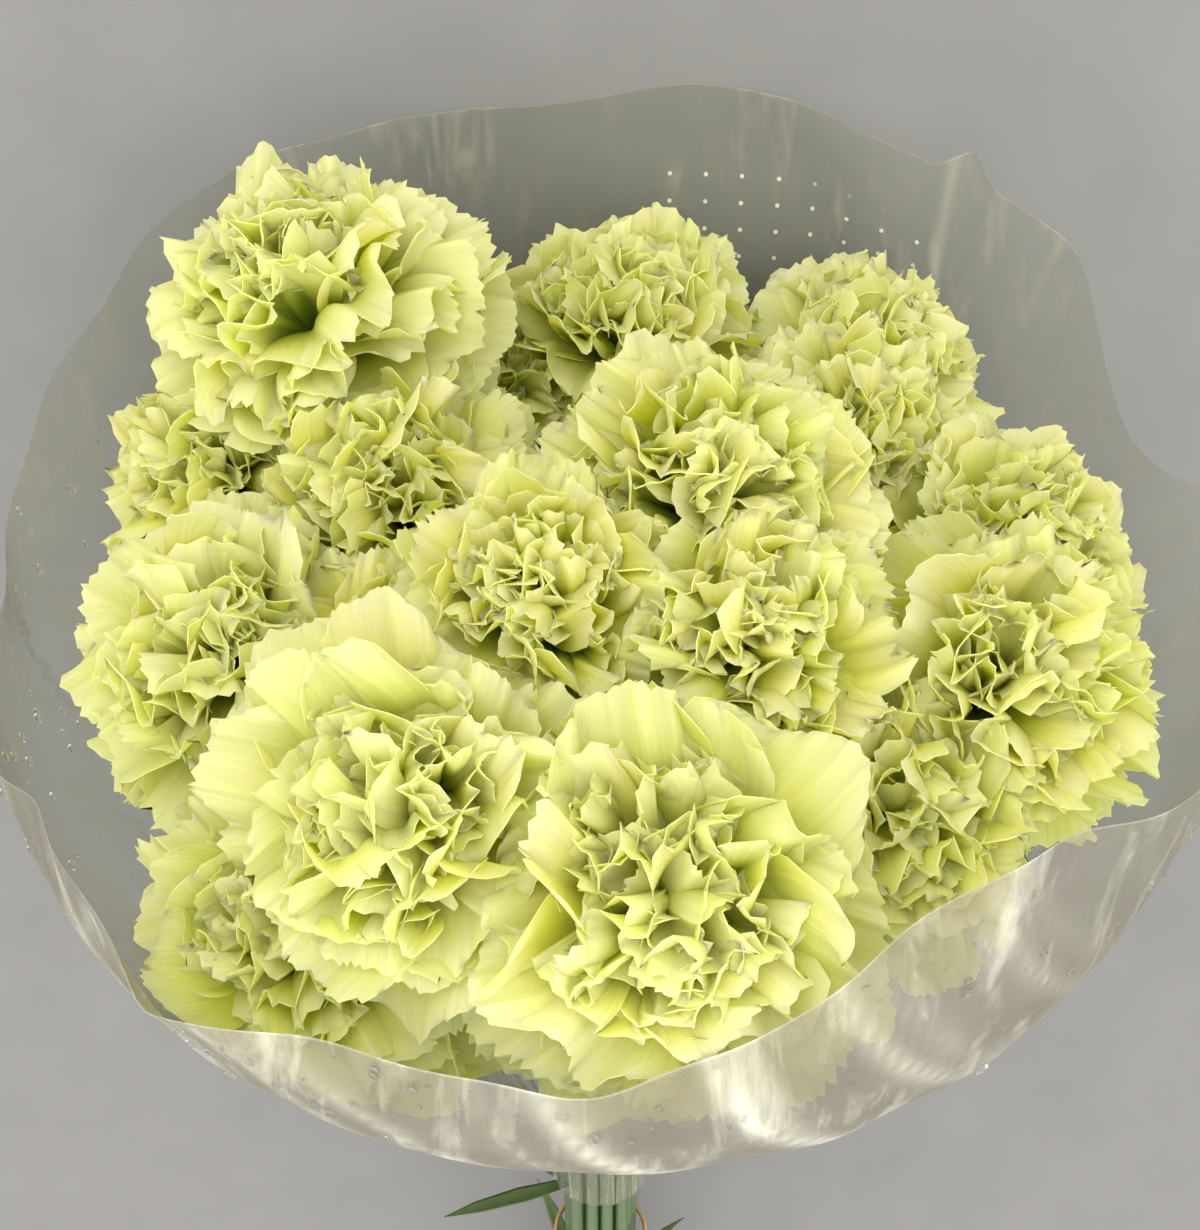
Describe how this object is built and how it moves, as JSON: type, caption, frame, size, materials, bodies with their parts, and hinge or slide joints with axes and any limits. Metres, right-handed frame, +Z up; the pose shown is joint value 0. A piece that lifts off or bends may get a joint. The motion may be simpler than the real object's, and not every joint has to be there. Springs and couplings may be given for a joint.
{
  "type": "bunch of carnations",
  "caption": "Bunch of double carnations with frilled petals on jointed stems, held in a clear film sleeve and laid down to rest on its side.",
  "frame": {"origin": "the point of the surface under the flowers, on the flat patch where the sleeve rests", "axes": "+Z up from the surface; the stems run to +Y and the flowers face -Y and up; +X across the bunch"},
  "size_m": [0.314, 0.5572, 0.2668],
  "materials": {
    "petals": "matt, soft",
    "greenery": "satin, with a grey bloom",
    "clear_film": "clear gloss",
    "rubber_band": "matt"
  },
  "bodies": {
    "root": {"bloom_01": "petals", "bloom_02": "petals", "bloom_03": "petals", "bloom_04": "petals", "bloom_05": "petals", "bloom_06": "petals", "bloom_07": "petals", "bloom_08": "petals", "bloom_09": "petals", "bloom_10": "petals", "bloom_11": "petals", "bloom_12": "petals", "bloom_13": "petals", "bloom_14": "petals", "bloom_15": "petals", "bloom_16": "petals", "bloom_17": "petals", "bloom_18": "petals", "stem_01": "greenery", "stem_02": "greenery", "stem_03": "greenery", "stem_04": "greenery", "stem_05": "greenery", "stem_06": "greenery", "stem_07": "greenery", "stem_08": "greenery", "stem_09": "greenery", "stem_10": "greenery", "stem_11": "greenery", "stem_12": "greenery", "stem_13": "greenery", "stem_14": "greenery", "stem_15": "greenery", "stem_16": "greenery", "stem_17": "greenery", "stem_18": "greenery", "sleeve": "clear_film", "band": "rubber_band"}
  },
  "joints": []
}
